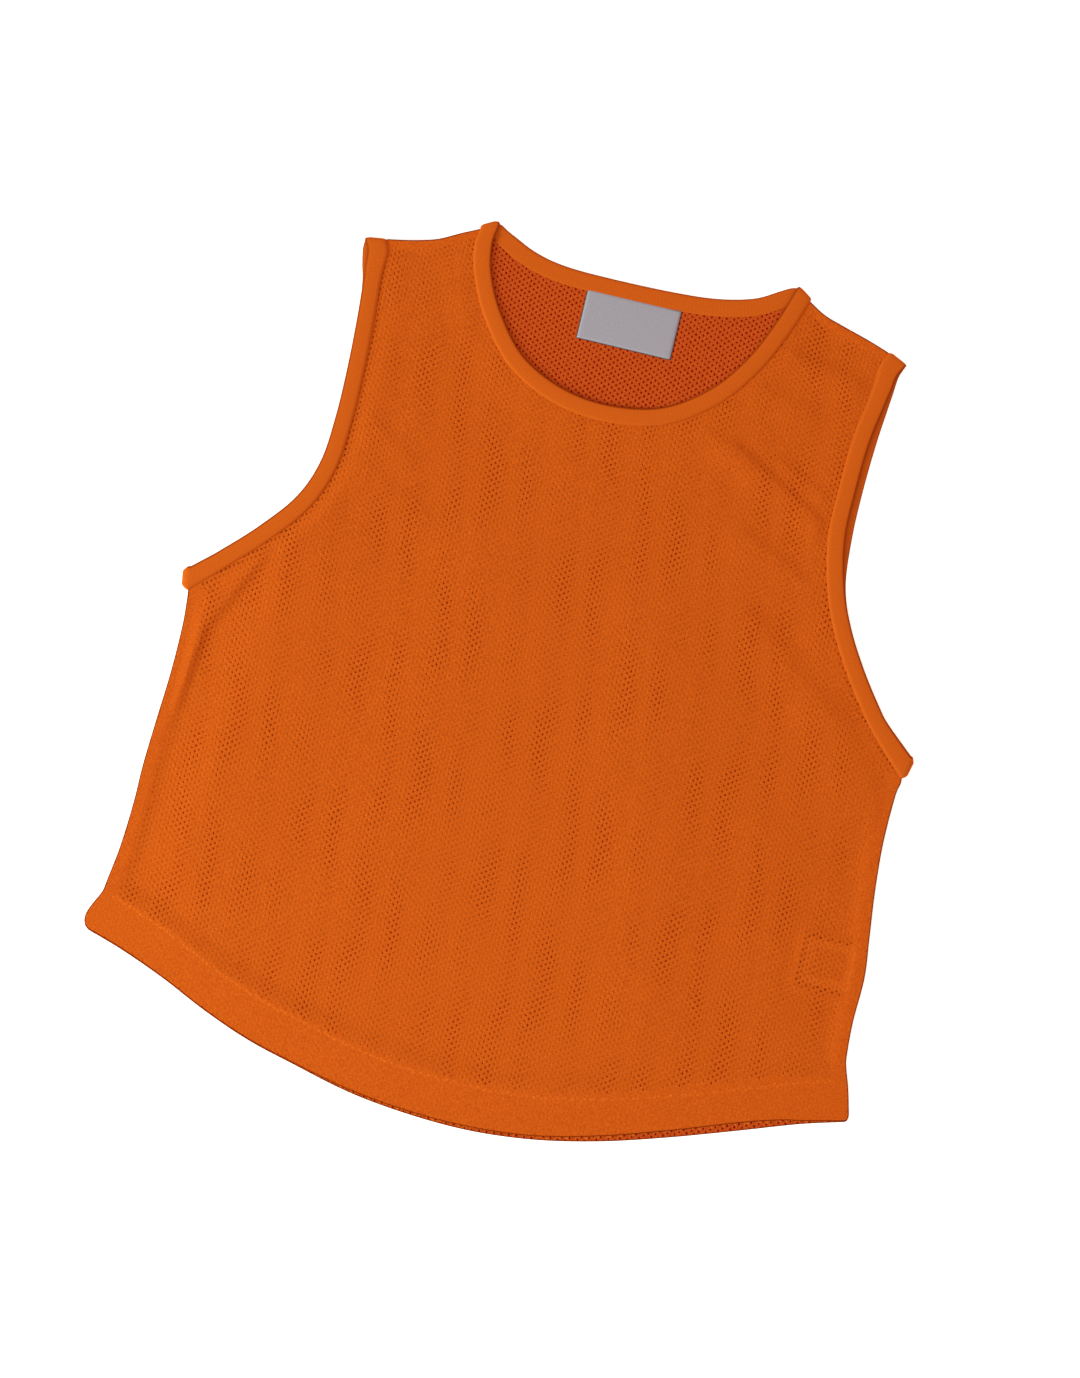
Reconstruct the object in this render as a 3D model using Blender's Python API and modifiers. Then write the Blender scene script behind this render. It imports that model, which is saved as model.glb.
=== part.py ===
"""A sleeveless training bib laid flat, its front panel lying on its back panel.

X runs across the bib, Y from the hem up to the neck, and Z up from the surface that it
lies on. Left and right are as seen from above. The origin is the middle of the underside.
The tables hold millimetres; the meshes are in metres.
"""

import math

import bmesh
import bpy
import numpy as np

MM = 0.001

# Cloth, in mm.
PANEL_WALL = 1.2
HEM_WALL = 2.4  # the hem allowance is turned up inside, so the cloth is double there
SEAM_WALL = 1.8  # the back's edge with the seam allowance on it
BINDING_WALL = 1.8
BINDING_WIDTH = 11.0
LABEL_WALL = 1.0
SEAM_GAP = 0.3
CHORD_GAP = 0.15  # added beside a binding, because both edges there are made of short straight steps
HEM_DEPTH = 27.5
HEM_STEP = 2.5  # the hem's inner edge thins out to one layer over this much

# Heights of the undersides above the surface, in mm.
FRONT_SEAM_BOTTOM = SEAM_WALL + SEAM_GAP
FRONT_HEM_BOTTOM = HEM_WALL + 0.35
FRONT_FIELD_BOTTOM = PANEL_WALL + 0.4
FRONT_BINDING_BOTTOM = BINDING_WALL + SEAM_GAP
LABEL_BOTTOM = PANEL_WALL + SEAM_GAP
FRONT_OVER_LABEL = LABEL_BOTTOM + LABEL_WALL + 0.4
FRONT_PUFF = 0.7  # how much the middle of the front stands above its borders
PUFF_REACH = 120.0
BORDER_RISE = (7.0, 16.0)  # the front comes down from its borders between these distances
LABEL_RISE = (15.0, 32.0)  # and from the care label between these
HEM_RISE = (5.0, 16.0)  # and from the hem's inner edge

# The armholes' folded edges. Columns: height, left front, left back, right front, right back.
ARMHOLES = (
    (240.0, -172.0, -175.0, 168.3, 169.4),
    (230.0, -171.2, -173.0, 166.8, 168.5),
    (220.0, -170.0, -170.5, 165.0, 167.6),
    (195.0, -168.2, -167.2, 161.2, 165.5),
    (165.0, -167.0, -166.0, 160.0, 164.3),
    (135.0, -167.0, -166.0, 160.4, 164.6),
    (105.0, -169.6, -168.6, 167.0, 167.8),
    (80.0, -179.1, -178.1, 177.4, 177.4),
    (56.0, -198.0, -197.0, 191.8, 191.8),
    (36.0, -217.7, -216.7, 206.4, 206.4),
    (28.0, -226.5, -225.7, 213.3, 213.3),
)
# Where each armhole binding folds over to the back: folded edge, then sewn edge, as x, y.
FOLD_AT_SHOULDER = {
    "left": ((-173.6, 246.4), (-161.4, 247.9)),
    "right": ((170.0, 247.0), (159.2, 252.0)),
}
FOLD_AT_ARMPIT = {
    "left": ((-232.8, 21.8), (-229.6, 8.6)),
    "right": ((231.0, 11.0), (227.4, -2.6)),
}

# The neck opening's folded edge: down the front from the left shoulder and up to the right.
NECK_FRONT = (
    (-96.6, 262.0),
    (-93.0, 244.0),
    (-82.0, 222.0),
    (-62.0, 198.5),
    (-34.0, 184.8),
    (-3.0, 181.0),
    (30.0, 187.3),
    (57.0, 206.0),
    (75.0, 230.0),
    (86.5, 255.0),
)
# And across the back.
NECK_BACK = (
    (-90.0, 272.4),
    (-84.0, 269.5),
    (-68.0, 262.7),
    (-48.0, 258.9),
    (-18.0, 258.1),
    (20.0, 258.9),
    (48.0, 261.3),
    (70.0, 266.8),
    (84.0, 274.6),
)
FOLD_AT_NECK = {
    "left": ((-95.4, 274.4), (-106.2, 268.8)),
    "right": ((94.9, 279.0), (104.4, 272.3)),
}
UNDERARM_STEP = (1.2, 4.0)  # from the end of the armhole out and down to the side seam
# The shoulder seams, from the armhole to the neck.
SHOULDERS = {
    "left": ((-161.4, 249.4), (-151.0, 251.4), (-140.0, 254.0), (-130.0, 257.2), (-117.5, 263.8)),
    "right": ((159.2, 253.6), (150.0, 256.7), (140.0, 259.7), (130.0, 262.5), (116.0, 266.8)),
}

# The side edges. Columns: height, left, right.
SIDES = (
    (-15.0, -229.6, 228.4),
    (-45.0, -229.9, 227.9),
    (-75.0, -231.7, 229.9),
    (-105.0, -233.3, 233.4),
    (-130.0, -233.5, 236.2),
    (-158.0, -235.2, 235.6),
    (-180.0, -238.2, 236.8),
    (-196.0, -243.0, 240.6),
)
# The lower edge. Columns: across, front, back.
HEM = (
    (-246.0, -211.2, -212.0),
    (-220.0, -219.7, -220.5),
    (-190.0, -231.2, -231.9),
    (-160.0, -245.3, -246.0),
    (-130.0, -256.4, -257.3),
    (-100.0, -264.2, -265.2),
    (-60.0, -272.9, -274.6),
    (-20.0, -277.3, -279.3),
    (20.0, -277.8, -280.2),
    (60.0, -273.7, -276.2),
    (100.0, -264.0, -267.6),
    (140.0, -251.0, -255.5),
    (180.0, -236.5, -241.7),
    (205.0, -228.7, -232.7),
    (222.0, -224.8, -226.6),
    (246.0, -219.0, -219.6),
)

# The soft rolls of the front, with its troughs between them. Columns: from x, y, to x, y, half width, height.
FOLDS = (
    (-176.0, 40.0, -196.0, -150.0, 17.0, 2.0),
    (-206.0, 20.0, -220.0, -60.0, 8.0, 0.6),
    (-132.0, 138.0, -92.0, 114.0, 11.0, 0.8),
    (-136.0, 104.0, -96.0, 82.0, 12.0, 0.6),
    (60.0, 168.0, 146.0, 124.0, 13.0, 1.5),
    (92.0, 206.0, 142.0, 172.0, 13.0, 1.0),
    (70.0, 120.0, 150.0, 76.0, 14.0, 0.9),
    (166.0, 30.0, 196.0, -34.0, 14.0, 0.9),
    (60.0, 40.0, 110.0, -170.0, 32.0, 0.9),
    (-60.0, 60.0, -84.0, -140.0, 34.0, 0.6),
)

# Labels: left edge, right edge, lower edge, upper edge.
NECK_LABEL = (-32.5, 28.2, 217.0, 246.6)
CARE_LABEL = (196.0, 228.4, -142.0, -112.0)

# The columns and rows of a panel's grid.
SIDE_INSETS = (0.0, 5.0, 14.0)  # how far in from the edge the outer columns lie
HEM_INSETS = (0.0, HEM_DEPTH / 2, HEM_DEPTH, HEM_DEPTH + HEM_STEP)
SIDE_ROWS = 8
ARMHOLE_ROWS = 23
SHOULDER_COLUMNS = 4
NECK_COLUMNS = {"front": 34, "back": 22}
EDGE_FADE = 3.0  # how fast the side edges' curves fade towards the middle
NECK_FADE = 9.0  # and how much faster beside the neck
RELAX_ROUNDS = 25
FRONT_STRIP_STATIONS = 34
BACK_STRIP_STATIONS = 30
FOLD_STATIONS = 5
FOLD_BLEND = 0.12  # the share of a strip over which it turns to its fold line


def remove_startup_objects():
    for obj in list(bpy.data.objects):
        bpy.data.objects.remove(obj, do_unlink=True)


def collection(name):
    made = bpy.data.collections.new(name)
    bpy.context.scene.collection.children.link(made)
    return made


def fabric(name, rgb, roughness):
    material = bpy.data.materials.new(name)
    material.use_nodes = True
    shader = material.node_tree.nodes["Principled BSDF"]
    shader.inputs["Base Color"].default_value = (*rgb, 1.0)
    shader.inputs["Roughness"].default_value = roughness
    shader.inputs["Metallic"].default_value = 0.0
    return material


def smooth_step(value):
    share = np.clip(value, 0.0, 1.0)
    return share * share * (3.0 - 2.0 * share)


def even_points(points, stations):
    """Points at even steps along a polyline."""
    points = np.asarray(points, float)
    run = np.concatenate([[0.0], np.cumsum(np.linalg.norm(np.diff(points, axis=0), axis=1))])
    at = np.linspace(0.0, run[-1], stations)
    return np.stack([np.interp(at, run, points[:, axis]) for axis in range(points.shape[1])], axis=1)


def curve_through(knots, stations):
    """Even points along the Catmull-Rom curve through the knots."""
    knots = np.asarray(knots, float)
    ends = 2 * knots[0] - knots[1], 2 * knots[-1] - knots[-2]
    padded = np.vstack([ends[0], knots, ends[1]])
    share = np.linspace(0.0, 1.0, 16, endpoint=False)[:, None]
    pieces = []
    for i in range(len(knots) - 1):
        a, b, c, d = padded[i : i + 4]
        pieces.append(
            0.5 * (2 * b + (c - a) * share + (2 * a - 5 * b + 4 * c - d) * share**2
                   + (3 * b - a - 3 * c + d) * share**3)
        )
    return even_points(np.vstack(pieces + [knots[-1:]]), stations)


def column(table, index):
    """(first column, chosen column) of a table, as points."""
    return [(row[0], row[index]) for row in table]


def armhole_edge(side, panel):
    """The folded edge of one armhole, from the shoulder down to the armpit."""
    index = {("left", "front"): 1, ("left", "back"): 2, ("right", "front"): 3, ("right", "back"): 4}
    rows = [(x, y) for y, x in column(ARMHOLES, index[side, panel])]
    return [FOLD_AT_SHOULDER[side][0], *rows, FOLD_AT_ARMPIT[side][0]]


def neck_edge(panel):
    rows = NECK_FRONT if panel == "front" else NECK_BACK
    return [FOLD_AT_NECK["left"][0], *rows, FOLD_AT_NECK["right"][0]]


def sewn_edge(folded, first, last, gap):
    """The folded edge moved by the binding's width, turning to the fold lines at its ends."""
    tangent = np.gradient(folded, axis=0)
    tangent /= np.linalg.norm(tangent, axis=1)[:, None]
    across = BINDING_WIDTH * np.stack([-tangent[:, 1], tangent[:, 0]], axis=1)
    starts = np.subtract(first[1], first[0])
    ends = np.subtract(last[1], last[0])
    if across[len(across) // 8] @ starts < 0:
        across = -across
    share = np.linspace(0.0, 1.0, len(folded))[:, None]
    near_start = 1.0 - smooth_step(share / FOLD_BLEND)
    near_end = 1.0 - smooth_step((1.0 - share) / FOLD_BLEND)
    across = across * (1.0 - near_start) + starts * near_start
    across = across * (1.0 - near_end) + ends * near_end
    return folded + across * (1.0 + gap / np.linalg.norm(across, axis=1)[:, None])


def strip(knots, first, last, stations, gap=0.0):
    """(folded edge, sewn edge) of one binding strip, or with a gap the panel's edge beside it."""
    folded = curve_through(knots, stations)
    return folded, sewn_edge(folded, first, last, gap)


def fold_round(folded, sewn, outward, upper, lower):
    """The sections that carry a strip from its upper height round to its lower one."""
    radius = (upper - lower) / 2
    sections = []
    for i in range(1, FOLD_STATIONS + 1):
        angle = math.pi * i / (FOLD_STATIONS + 1)
        push = radius * math.sin(angle) * outward
        height = lower + radius + radius * math.cos(angle)
        sections.append(((*(folded + push), height), (*(sewn + push), height)))
    return sections


def away_from(folded, sewn, inside):
    """The direction square to a fold line, pointing away from the strip."""
    along = (sewn - folded) / np.linalg.norm(sewn - folded)
    square = np.array([-along[1], along[0]])
    return -square if square @ (inside - folded) > 0 else square


def binding(name, front, back, material, group):
    """A ring of binding: along the front, over the fold, back along the back, over the other fold."""
    upper = FRONT_BINDING_BOTTOM + BINDING_WALL / 2
    lower = BINDING_WALL / 2
    sections = [((*f, upper), (*s, upper)) for f, s in zip(*front)]
    end = (front[0][-1] + back[0][-1]) / 2, (front[1][-1] + back[1][-1]) / 2
    start = (front[0][0] + back[0][0]) / 2, (front[1][0] + back[1][0]) / 2
    sections += fold_round(*end, away_from(*end, front[0][-3]), upper, lower)
    sections += [((*f, lower), (*s, lower)) for f, s in zip(back[0][::-1], back[1][::-1])]
    sections += fold_round(*start, away_from(*start, front[0][2]), upper, lower)[::-1]
    bm = bmesh.new()
    rings = [[bm.verts.new(np.multiply(point, MM)) for point in section] for section in sections]
    for a, b in zip(rings, rings[1:] + rings[:1]):
        bm.faces.new((a[0], a[1], b[1], b[0]))
    bmesh.ops.recalc_face_normals(bm, faces=bm.faces)
    obj = finished(name, bm, material, group)
    solidify(obj, BINDING_WALL, offset=0.0)
    return obj


def finished(name, bm, material, group):
    mesh = bpy.data.meshes.new(name)
    bm.to_mesh(mesh)
    bm.free()
    mesh.shade_smooth()
    obj = bpy.data.objects.new(name, mesh)
    obj.data.materials.append(material)
    group.objects.link(obj)
    return obj


def solidify(obj, wall, offset):
    modifier = obj.modifiers.new("Wall", "SOLIDIFY")
    modifier.thickness = wall * MM
    modifier.offset = offset
    return modifier


def corner(side, panel):
    row = HEM[0] if side == "left" else HEM[-1]
    return (row[0], row[1 if panel == "front" else 2])


def seam_line(side, panel):
    """One edge of a panel from the hem's corner up to the shoulder, and its height at the armpit."""
    first, last = FOLD_AT_SHOULDER[side], FOLD_AT_ARMPIT[side]
    armhole = strip(armhole_edge(side, panel), first, last, 90, SEAM_GAP + CHORD_GAP)[1][::-1]
    inward = 1.0 if side == "left" else -1.0
    below = armhole[0] - (inward * UNDERARM_STEP[0], UNDERARM_STEP[1])
    knots = [(row[1 if side == "left" else 2], row[0]) for row in SIDES[::-1]]
    sides = curve_through([corner(side, panel), *knots, below], 60)
    return np.vstack([sides, armhole]), armhole[0][1]


def shoulder_height(side, across):
    """The height of the shoulder seam at a place across the bib."""
    seam = curve_through([*SHOULDERS[side], FOLD_AT_NECK[side][1]], 40)
    seam = seam[np.argsort(seam[:, 0])]
    return np.interp(across, *seam.T)


def hem_height(panel, across):
    """The height of a panel's lower edge at a place across the bib."""
    hem = curve_through(column(HEM, 1 if panel == "front" else 2), 120)
    return np.interp(across, *hem.T)


def edge_column(side, panel, inset):
    """One column of a panel's grid beside its edge, from the hem to the shoulder."""
    line, armpit = seam_line(side, panel)
    inward = 1.0 if side == "left" else -1.0
    low_across = line[0, 0] + inward * inset
    top_across = line[-1, 0] + inward * inset
    lows = [hem_height(panel, low_across) + rise for rise in HEM_INSETS]
    heights = np.concatenate([
        lows,
        np.linspace(lows[-1], armpit, SIDE_ROWS)[1:],
        np.linspace(armpit, shoulder_height(side, top_across), ARMHOLE_ROWS)[1:],
    ])
    across = np.interp(heights, line[:, 1], line[:, 0]) + inward * inset
    across[0], across[-1] = low_across, top_across
    return np.stack([across, heights], axis=1)


def top_rail(panel, left_top, right_top):
    """A panel's upper edge between its inner columns: a shoulder, the neck and a shoulder."""
    ends = FOLD_AT_NECK["left"], FOLD_AT_NECK["right"]
    neck = strip(neck_edge(panel), *ends, 240, SEAM_GAP + CHORD_GAP)[1]
    neck = even_points(neck, NECK_COLUMNS[panel] + 1)
    rails = []
    for side, start, end in (("left", left_top[0], neck[0, 0]), ("right", neck[-1, 0], right_top[0])):
        across = np.linspace(start, end, SHOULDER_COLUMNS + 1)
        rails.append(np.stack([across, shoulder_height(side, across)], axis=1))
    return np.vstack([rails[0][:-1], neck, rails[1][1:]])


def relaxed(grid, base, side):
    """The grid with each inner point moved between its four neighbours, so that no cell folds over."""
    for _ in range(RELAX_ROUNDS):
        around = grid[base:-2, side + 1 : -side - 1] + grid[base + 2 :, side + 1 : -side - 1]
        beside = grid[base + 1 : -1, side : -side - 2] + grid[base + 1 : -1, side + 2 : -side]
        grid[base + 1 : -1, side + 1 : -side - 1] = (around + beside) / 4
    return grid


def panel_grid(panel):
    """The plan of a panel as rows of points, from the hem up to the neck and shoulders.

    Between its edge columns each row above the hem is blended from the four sides.
    """
    left = [edge_column("left", panel, inset) for inset in SIDE_INSETS]
    right = [edge_column("right", panel, inset) for inset in reversed(SIDE_INSETS)]
    start, end = left[-1], right[0]
    top = top_rail(panel, start[-1], end[-1])
    share = np.linspace(0.0, 1.0, len(top))[:, None]
    base = len(HEM_INSETS) - 1
    rows = []
    for row in range(len(start)):
        if row <= base:
            across = start[row, 0] + share[:, 0] * (end[row, 0] - start[row, 0])
            middle = np.stack([across, hem_height(panel, across) + HEM_INSETS[row]], axis=1)
            bottom = middle
        else:
            rise = (start[row, 1] - start[base, 1]) / (start[-1, 1] - start[base, 1])
            middle = bottom * (1.0 - rise) + top * rise
            fade = EDGE_FADE + NECK_FADE * smooth_step((rise - 0.6) / 0.35)
            to_start, to_end = start[row] - middle[0], end[row] - middle[-1]
            middle = middle + to_start * (1.0 - share) ** fade + to_end * share**fade
        edges = [[col[row] for col in columns] for columns in (left[:-1], right[1:])]
        rows.append(np.vstack([edges[0], middle, edges[1]]))
    return relaxed(np.array(rows), base, len(SIDE_INSETS) - 1)


def distance_to(points, line):
    """How far each point lies from a polyline."""
    nearest = np.full(len(points), np.inf)
    for a, b in zip(line, line[1:]):
        along = np.clip((points - a) @ (b - a) / ((b - a) @ (b - a)), 0.0, 1.0)
        gap = np.linalg.norm(points - a - along[:, None] * (b - a), axis=1)
        nearest = np.minimum(nearest, gap)
    return nearest


def seams_between_panels():
    """The two side seams and the two shoulder seams, as polylines."""
    lines = []
    for side in ("left", "right"):
        line, armpit = seam_line(side, "front")
        lines.append(line[line[:, 1] <= armpit])
        across = np.linspace(SHOULDERS[side][0][0], FOLD_AT_NECK[side][1][0], 9)
        lines.append(np.stack([across, shoulder_height(side, across)], axis=1))
    return lines


def open_borders():
    """The front's lower edge, armholes and neck, as polylines."""
    hem = curve_through(column(HEM, 1), 60)
    lines = [hem, strip(neck_edge("front"), FOLD_AT_NECK["left"], FOLD_AT_NECK["right"], 40)[1]]
    for side in ("left", "right"):
        ends = FOLD_AT_SHOULDER[side], FOLD_AT_ARMPIT[side]
        lines.append(strip(armhole_edge(side, "front"), *ends, 30)[1])
    return lines


def above_hem(points, panel):
    """How far each place lies above the inner edge of the turned hem."""
    return points[:, 1] - hem_height(panel, points[:, 0]) - HEM_DEPTH


def wall_of(points, panel, to_seam):
    """The cloth's thickness: double in the hem, and on the back thicker at the seam allowance."""
    doubled = 1.0 - smooth_step((above_hem(points, panel) - 0.3) / (HEM_STEP - 0.6))
    wall = PANEL_WALL + (HEM_WALL - PANEL_WALL) * doubled
    if panel == "front":
        return wall
    allowance = SEAM_WALL + (PANEL_WALL - SEAM_WALL) * smooth_step(to_seam / SIDE_INSETS[1])
    return np.maximum(wall, allowance)


def near(distance, reach):
    """1 up to the first distance of reach, fading to 0 at the second."""
    return 1.0 - smooth_step((distance - reach[0]) / (reach[1] - reach[0]))


def from_care_label(points):
    """How far each place lies from the care label's rectangle."""
    left, right, low, high = CARE_LABEL
    beside = np.maximum(np.maximum(left - points[:, 0], points[:, 0] - right), 0.0)
    beyond = np.maximum(np.maximum(low - points[:, 1], points[:, 1] - high), 0.0)
    return np.hypot(beside, beyond)


def front_underside(points, to_seam):
    """The height of the front's underside at places on its plan: what it lies over, then its own folds."""
    to_open = np.min([distance_to(points, line) for line in open_borders()], axis=0)
    to_border = np.minimum(to_seam, to_open)
    under = [
        FRONT_FIELD_BOTTOM + (FRONT_SEAM_BOTTOM - FRONT_FIELD_BOTTOM) * near(to_border, BORDER_RISE),
        FRONT_FIELD_BOTTOM
        + (FRONT_HEM_BOTTOM - FRONT_FIELD_BOTTOM) * near(above_hem(points, "front"), HEM_RISE),
        FRONT_FIELD_BOTTOM
        + (FRONT_OVER_LABEL - FRONT_FIELD_BOTTOM) * near(from_care_label(points), LABEL_RISE),
    ]
    own = FRONT_PUFF * smooth_step(to_border / PUFF_REACH)
    for x0, y0, x1, y1, width, rise in FOLDS:
        away = distance_to(points, np.array([(x0, y0), (x1, y1)]))
        own = own + rise * np.exp(-((away / width) ** 2))
    return np.max(under, axis=0) + own * (1.0 - near(to_border, BORDER_RISE))


def panel(name, which, material, group):
    """A panel: a grid moved to the underside of the cloth, to which Solidify gives its wall."""
    rows = panel_grid(which)
    plan = np.vstack(rows)
    to_seam = np.min([distance_to(plan, line) for line in seams_between_panels()], axis=0)
    underside = front_underside(plan, to_seam) if which == "front" else np.zeros(len(plan))
    bm = bmesh.new()
    bmesh.ops.create_grid(bm, x_segments=len(rows[0]) - 1, y_segments=len(rows) - 1, size=1.0)
    cloth = sorted(bm.verts, key=lambda v: (round(v.co.y, 4), round(v.co.x, 4)))
    for vertex, point in zip(cloth, np.column_stack([plan, underside]) * MM):
        vertex.co = point
    ranks = [vertex.index for vertex in cloth]
    obj = finished(name, bm, material, group)
    layers = obj.vertex_groups.new(name="Layers")
    for rank, wall in zip(ranks, wall_of(plan, which, to_seam)):
        layers.add([rank], float(wall / HEM_WALL), "REPLACE")
    solidify(obj, HEM_WALL, offset=1.0).vertex_group = layers.name
    return obj


def label(name, edges, material, group):
    """A flat woven label lying on the back panel."""
    left, right, low, high = edges
    bm = bmesh.new()
    bmesh.ops.create_grid(bm, x_segments=6, y_segments=3, size=0.5)
    for vertex in bm.verts:
        vertex.co.x = ((left + right) / 2 + vertex.co.x * (right - left)) * MM
        vertex.co.y = ((low + high) / 2 + vertex.co.y * (high - low)) * MM
        vertex.co.z = LABEL_BOTTOM * MM
    obj = finished(name, bm, material, group)
    solidify(obj, LABEL_WALL, offset=1.0)
    return obj


def ring_of(front_knots, back_knots, first, last):
    front = strip(front_knots, first, last, FRONT_STRIP_STATIONS)
    back = strip(back_knots, first, last, BACK_STRIP_STATIONS)
    return front, back


def main():
    remove_startup_objects()
    bib = collection("training_bib")
    mesh_cloth = fabric("Orange eyelet mesh", (0.57, 0.09, 0.005), 0.75)
    plain_cloth = fabric("Orange plain knit", (0.62, 0.10, 0.005), 0.7)
    woven = fabric("Grey woven label", (0.40, 0.37, 0.40), 0.6)
    satin = fabric("Orange satin label", (0.64, 0.14, 0.01), 0.5)
    panel("back_panel", "back", mesh_cloth, bib)
    panel("front_panel", "front", mesh_cloth, bib)
    neck = ring_of(neck_edge("front"), neck_edge("back"), FOLD_AT_NECK["left"], FOLD_AT_NECK["right"])
    binding("neck_binding", *neck, plain_cloth, bib)
    for side in ("left", "right"):
        armhole = ring_of(
            armhole_edge(side, "front"), armhole_edge(side, "back"),
            FOLD_AT_SHOULDER[side], FOLD_AT_ARMPIT[side],
        )
        binding(f"armhole_binding_{side}", *armhole, plain_cloth, bib)
    label("neck_label", NECK_LABEL, woven, bib)
    label("care_label", CARE_LABEL, satin, bib)


main()
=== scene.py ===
"""The looks of a training bib laid flat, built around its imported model.

X runs across the bib, Y from the hem up to the neck and Z up from the floor. Left and right
are as seen from above. Sizes and places are in millimetres until a mesh is written.
"""

import math

import bmesh
import bpy
import numpy as np
from mathutils import Matrix, Vector


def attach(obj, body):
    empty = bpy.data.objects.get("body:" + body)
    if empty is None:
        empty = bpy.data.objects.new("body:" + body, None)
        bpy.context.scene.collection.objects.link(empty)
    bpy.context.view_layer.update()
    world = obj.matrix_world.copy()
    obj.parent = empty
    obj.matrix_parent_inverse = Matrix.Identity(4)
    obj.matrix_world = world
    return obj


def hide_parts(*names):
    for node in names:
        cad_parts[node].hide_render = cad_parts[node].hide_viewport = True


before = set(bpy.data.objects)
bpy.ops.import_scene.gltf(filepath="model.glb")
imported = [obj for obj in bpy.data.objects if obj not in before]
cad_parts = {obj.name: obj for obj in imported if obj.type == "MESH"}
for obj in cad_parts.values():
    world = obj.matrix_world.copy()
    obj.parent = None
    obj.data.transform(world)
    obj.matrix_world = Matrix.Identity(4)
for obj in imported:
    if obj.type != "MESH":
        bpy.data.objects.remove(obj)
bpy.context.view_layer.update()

MM = 0.001

# ---- The pattern pieces, laid flat ----

BINDING_WIDTH = 11.0
BINDING_LAP = 2.5  # how far the mesh runs in under its binding
HEM_DEPTH = 27.5
SEAM_ALLOWANCE = 9.5  # the strip beside a side seam where the cloth lies double
SHOULDER_ALLOWANCE = 5.0
# Where each side edge starts, below its armhole binding.
UNDERARM = {"left": (-230.9, 4.3), "right": (229.9, -6.6)}
FOLD_BLEND = 0.12  # the share of a strip over which it turns to its fold line
CURVE_STEPS = 24  # points worked out between two knots of a curve
CORNER_POINTS = 9
OUTLINE_STATIONS = 70  # points along each binding's line in a panel's outline
# Fewer points do where only the distance from a line is wanted.
ROUGH_STATIONS = {"armhole": 22, "neck": 26, "side": 14, "shoulder": 8}

# The armholes' folded edges. Columns: height, left front, left back, right front, right back.
ARMHOLES = (
    (240.0, -172.0, -175.0, 168.3, 169.4),
    (230.0, -171.2, -173.0, 166.8, 168.5),
    (220.0, -170.0, -170.5, 165.0, 167.6),
    (195.0, -168.2, -167.2, 161.2, 165.5),
    (165.0, -167.0, -166.0, 160.0, 164.3),
    (135.0, -167.0, -166.0, 160.4, 164.6),
    (105.0, -169.6, -168.6, 167.0, 167.8),
    (80.0, -179.1, -178.1, 177.4, 177.4),
    (56.0, -198.0, -197.0, 191.8, 191.8),
    (36.0, -217.7, -216.7, 206.4, 206.4),
    (28.0, -226.5, -225.7, 213.3, 213.3),
)
ARMHOLE_COLUMN = {("left", "front"): 1, ("left", "back"): 2, ("right", "front"): 3, ("right", "back"): 4}
# Where each binding folds over to the back: folded edge, then sewn edge, as x, y.
FOLD_AT_SHOULDER = {
    "left": ((-174.9, 245.6), (-161.4, 247.7)),
    "right": ((171.9, 246.9), (159.5, 252.6)),
}
FOLD_AT_ARMPIT = {
    "left": ((-233.0, 22.2), (-231.5, 7.3)),
    "right": ((231.8, 11.9), (228.9, -3.0)),
}
FOLD_AT_NECK = {
    "left": ((-95.2, 274.9), (-106.4, 269.2)),
    "right": ((94.6, 279.4), (104.5, 273.1)),
}
# The neck opening's folded edge, from left to right, as x, y.
NECK = {
    "front": (
        (-96.6, 262.0),
        (-93.0, 244.0),
        (-82.0, 222.0),
        (-62.0, 198.5),
        (-34.0, 184.8),
        (-3.0, 181.0),
        (30.0, 187.3),
        (57.0, 206.0),
        (75.0, 230.0),
        (86.5, 255.0),
    ),
    "back": (
        (-93.0, 274.3),
        (-90.0, 272.4),
        (-84.0, 269.5),
        (-68.0, 262.7),
        (-48.0, 258.9),
        (-18.0, 258.1),
        (20.0, 258.9),
        (48.0, 261.3),
        (70.0, 266.8),
        (84.0, 274.6),
        (90.5, 278.3),
    ),
}
# The shoulder seams, from the armhole to the neck, as x, y.
SHOULDERS = {
    "left": ((-161.4, 249.4), (-151.0, 251.4), (-140.0, 254.0), (-130.0, 257.2), (-117.5, 263.8)),
    "right": ((159.2, 253.6), (150.0, 256.7), (140.0, 259.7), (130.0, 262.5), (116.0, 266.8)),
}
# The side edges. Columns: height, left, right.
SIDES = (
    (-15.0, -229.6, 228.4),
    (-45.0, -229.9, 227.9),
    (-75.0, -231.7, 229.9),
    (-105.0, -233.3, 233.4),
    (-130.0, -233.5, 236.2),
    (-158.0, -235.2, 235.6),
    (-180.0, -238.2, 236.8),
    (-188.0, -239.4, 238.5),
    (-196.0, -243.2, 241.3),
    (-203.0, -246.0, 243.4),
)
# The lower edge. Columns: across, front, back.
HEM = (
    (-247.2, -211.7, -212.4),
    (-220.0, -220.0, -220.8),
    (-190.0, -231.7, -232.4),
    (-160.0, -245.3, -246.0),
    (-130.0, -256.4, -257.3),
    (-100.0, -264.2, -265.2),
    (-60.0, -272.9, -274.6),
    (-20.0, -277.3, -279.3),
    (20.0, -277.8, -280.2),
    (60.0, -273.7, -276.2),
    (100.0, -264.0, -267.6),
    (140.0, -251.0, -255.5),
    (180.0, -236.5, -241.7),
    (205.0, -228.7, -232.7),
    (222.0, -225.1, -226.9),
    (247.6, -219.0, -219.6),
)
HEM_COLUMN = {"front": 1, "back": 2}
CORNER_RADIUS = {"left": 5.0, "right": 2.5}
EDGE_RADIUS = 0.7  # how round the cloth turns under at its seams and folds
EDGE_TURNS = (0.0, 35.0, 75.0, 115.0, 155.0)  # the steps of that turn, in degrees

# ---- The knit ----

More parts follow.
